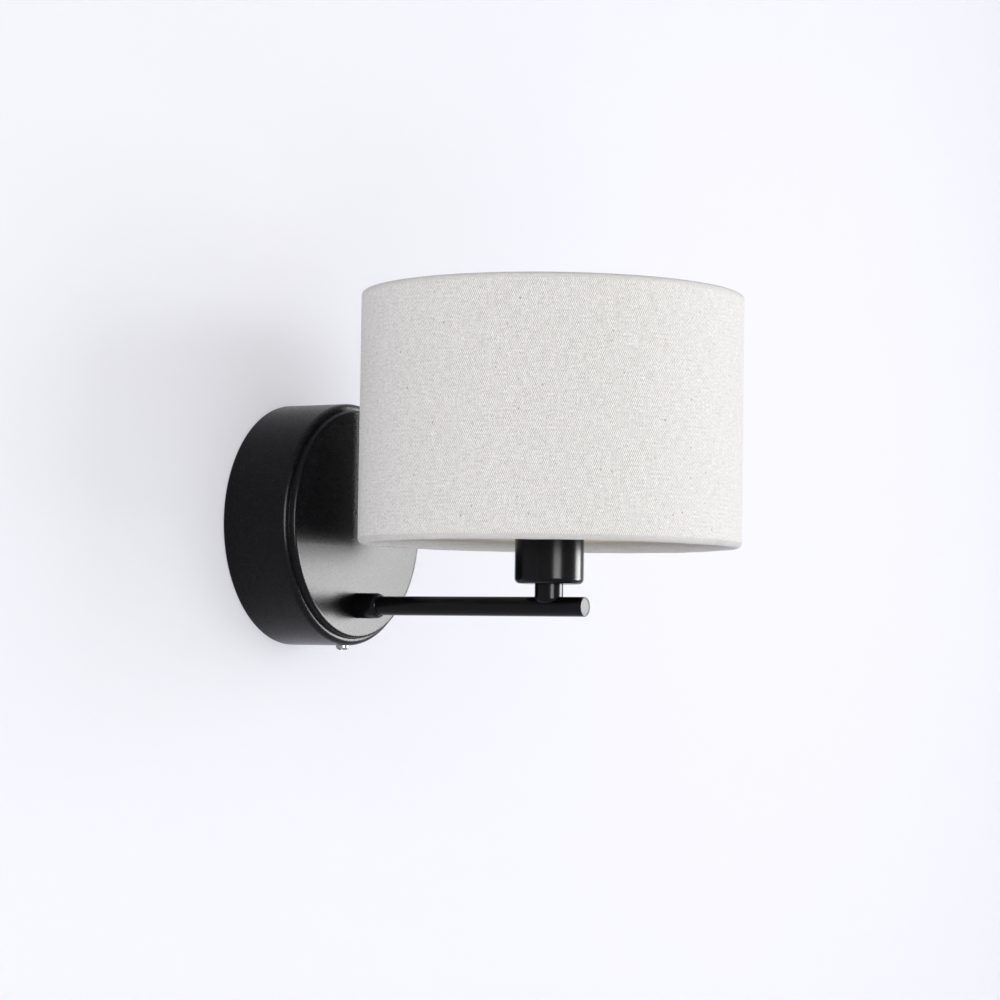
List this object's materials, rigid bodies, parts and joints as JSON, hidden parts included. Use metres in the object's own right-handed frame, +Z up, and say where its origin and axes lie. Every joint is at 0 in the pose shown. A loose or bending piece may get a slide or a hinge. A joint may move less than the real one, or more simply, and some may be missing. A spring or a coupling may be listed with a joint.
{
  "type": "wall sconce",
  "caption": "Wall sconce: round stepped canopy, straight tube arm, short stem and cup under an upright linen drum shade with a small screw-cap bulb.",
  "frame": {"origin": "centre of the canopy's back, on the wall plane and midway between the two wall screw slots", "axes": "+Z up, +Y into the wall; the lamp stands out towards -Y and its shade's axis is upright"},
  "size_m": [0.183, 0.2395, 0.171],
  "materials": {
    "black_powder_coat": "satin black powder coat on steel",
    "zinc_plated_steel": "bright zinc plating",
    "chromed_steel": "polished chrome",
    "blackened_steel": "black oxide",
    "brass": "drawn brass",
    "nylon_white": "moulded nylon",
    "holder_plastic": "moulded thermoset, slight gloss",
    "wire_brown": "extruded PVC",
    "wire_blue": "extruded PVC",
    "wire_green_yellow": "extruded PVC",
    "white_frame_coat": "white epoxy coat on wire",
    "lining_film": "satin styrene film",
    "linen": "plain woven natural off-white linen",
    "solder": "tinned contact",
    "black_glass": "glossy black vitrite",
    "nickel_cap": "nickel plated brass",
    "clear_glass": "clear blown glass",
    "filament_coat": "yellow phosphor coat"
  },
  "bodies": {
    "lamp": {"wall_bracket": "zinc_plated_steel", "locating_stud": "zinc_plated_steel", "canopy_shell": "black_powder_coat", "canopy_screw": "chromed_steel", "terminal_block": "nylon_white", "terminal_inserts": "brass", "terminal_screws": "zinc_plated_steel", "block_screw": "zinc_plated_steel", "earth_screw": "brass", "earth_lugs": "zinc_plated_steel", "earth_tag": "zinc_plated_steel", "live_wire": "wire_brown", "neutral_wire": "wire_blue", "block_earth_wire": "wire_green_yellow", "arm_earth_wire": "wire_green_yellow", "lock_washer": "zinc_plated_steel", "lock_nut": "zinc_plated_steel", "arm_collar": "black_powder_coat", "set_screw": "blackened_steel", "arm_tube": "black_powder_coat", "arm_end_plug": "black_powder_coat", "stem": "black_powder_coat", "threaded_nipple": "zinc_plated_steel", "holder_cup": "black_powder_coat", "cup_nut": "zinc_plated_steel", "holder_base": "holder_plastic", "holder_insert": "holder_plastic", "screw_shell": "brass", "centre_contact": "brass", "shell_contact": "brass", "holder_skirt": "holder_plastic"},
    "shade_ring": {"shade_ring": "holder_plastic"},
    "shade": {"fitter_ring": "white_frame_coat", "spokes": "white_frame_coat", "lower_hoop": "white_frame_coat", "upper_hoop": "white_frame_coat", "shade_liner": "lining_film", "shade_linen": "linen"},
    "bulb_contact": {"bulb_tip": "solder"},
    "bulb": {"bulb_insulator": "black_glass", "bulb_cap": "nickel_cap", "bulb_globe": "clear_glass", "bulb_mount": "clear_glass", "filaments": "filament_coat"}
  },
  "joints": [
    {"name": "shade_turn", "type": "hinge", "parent": "lamp", "child": "shade", "pos_m": [0, -0.148, 0], "axis": [0, 0, 1], "continuous": true},
    {"name": "shade_ring_turn", "type": "hinge", "parent": "lamp", "child": "shade_ring", "pos_m": [0, -0.148, 0], "axis": [0, 0, 1], "continuous": true},
    {"name": "bulb_lift", "type": "slide", "parent": "lamp", "child": "bulb_contact", "axis": [0, 0, 1], "range_m": [0, 0.0113]},
    {"name": "bulb_turn", "type": "hinge", "parent": "bulb_contact", "child": "bulb", "pos_m": [0, -0.148, 0], "axis": [0, 0, 1], "range_deg": [0, 1440]}
  ],
  "couplings": [
    {"joint": "bulb_lift", "follows": "bulb_turn", "m_per_rad": 0.00044882}
  ]
}
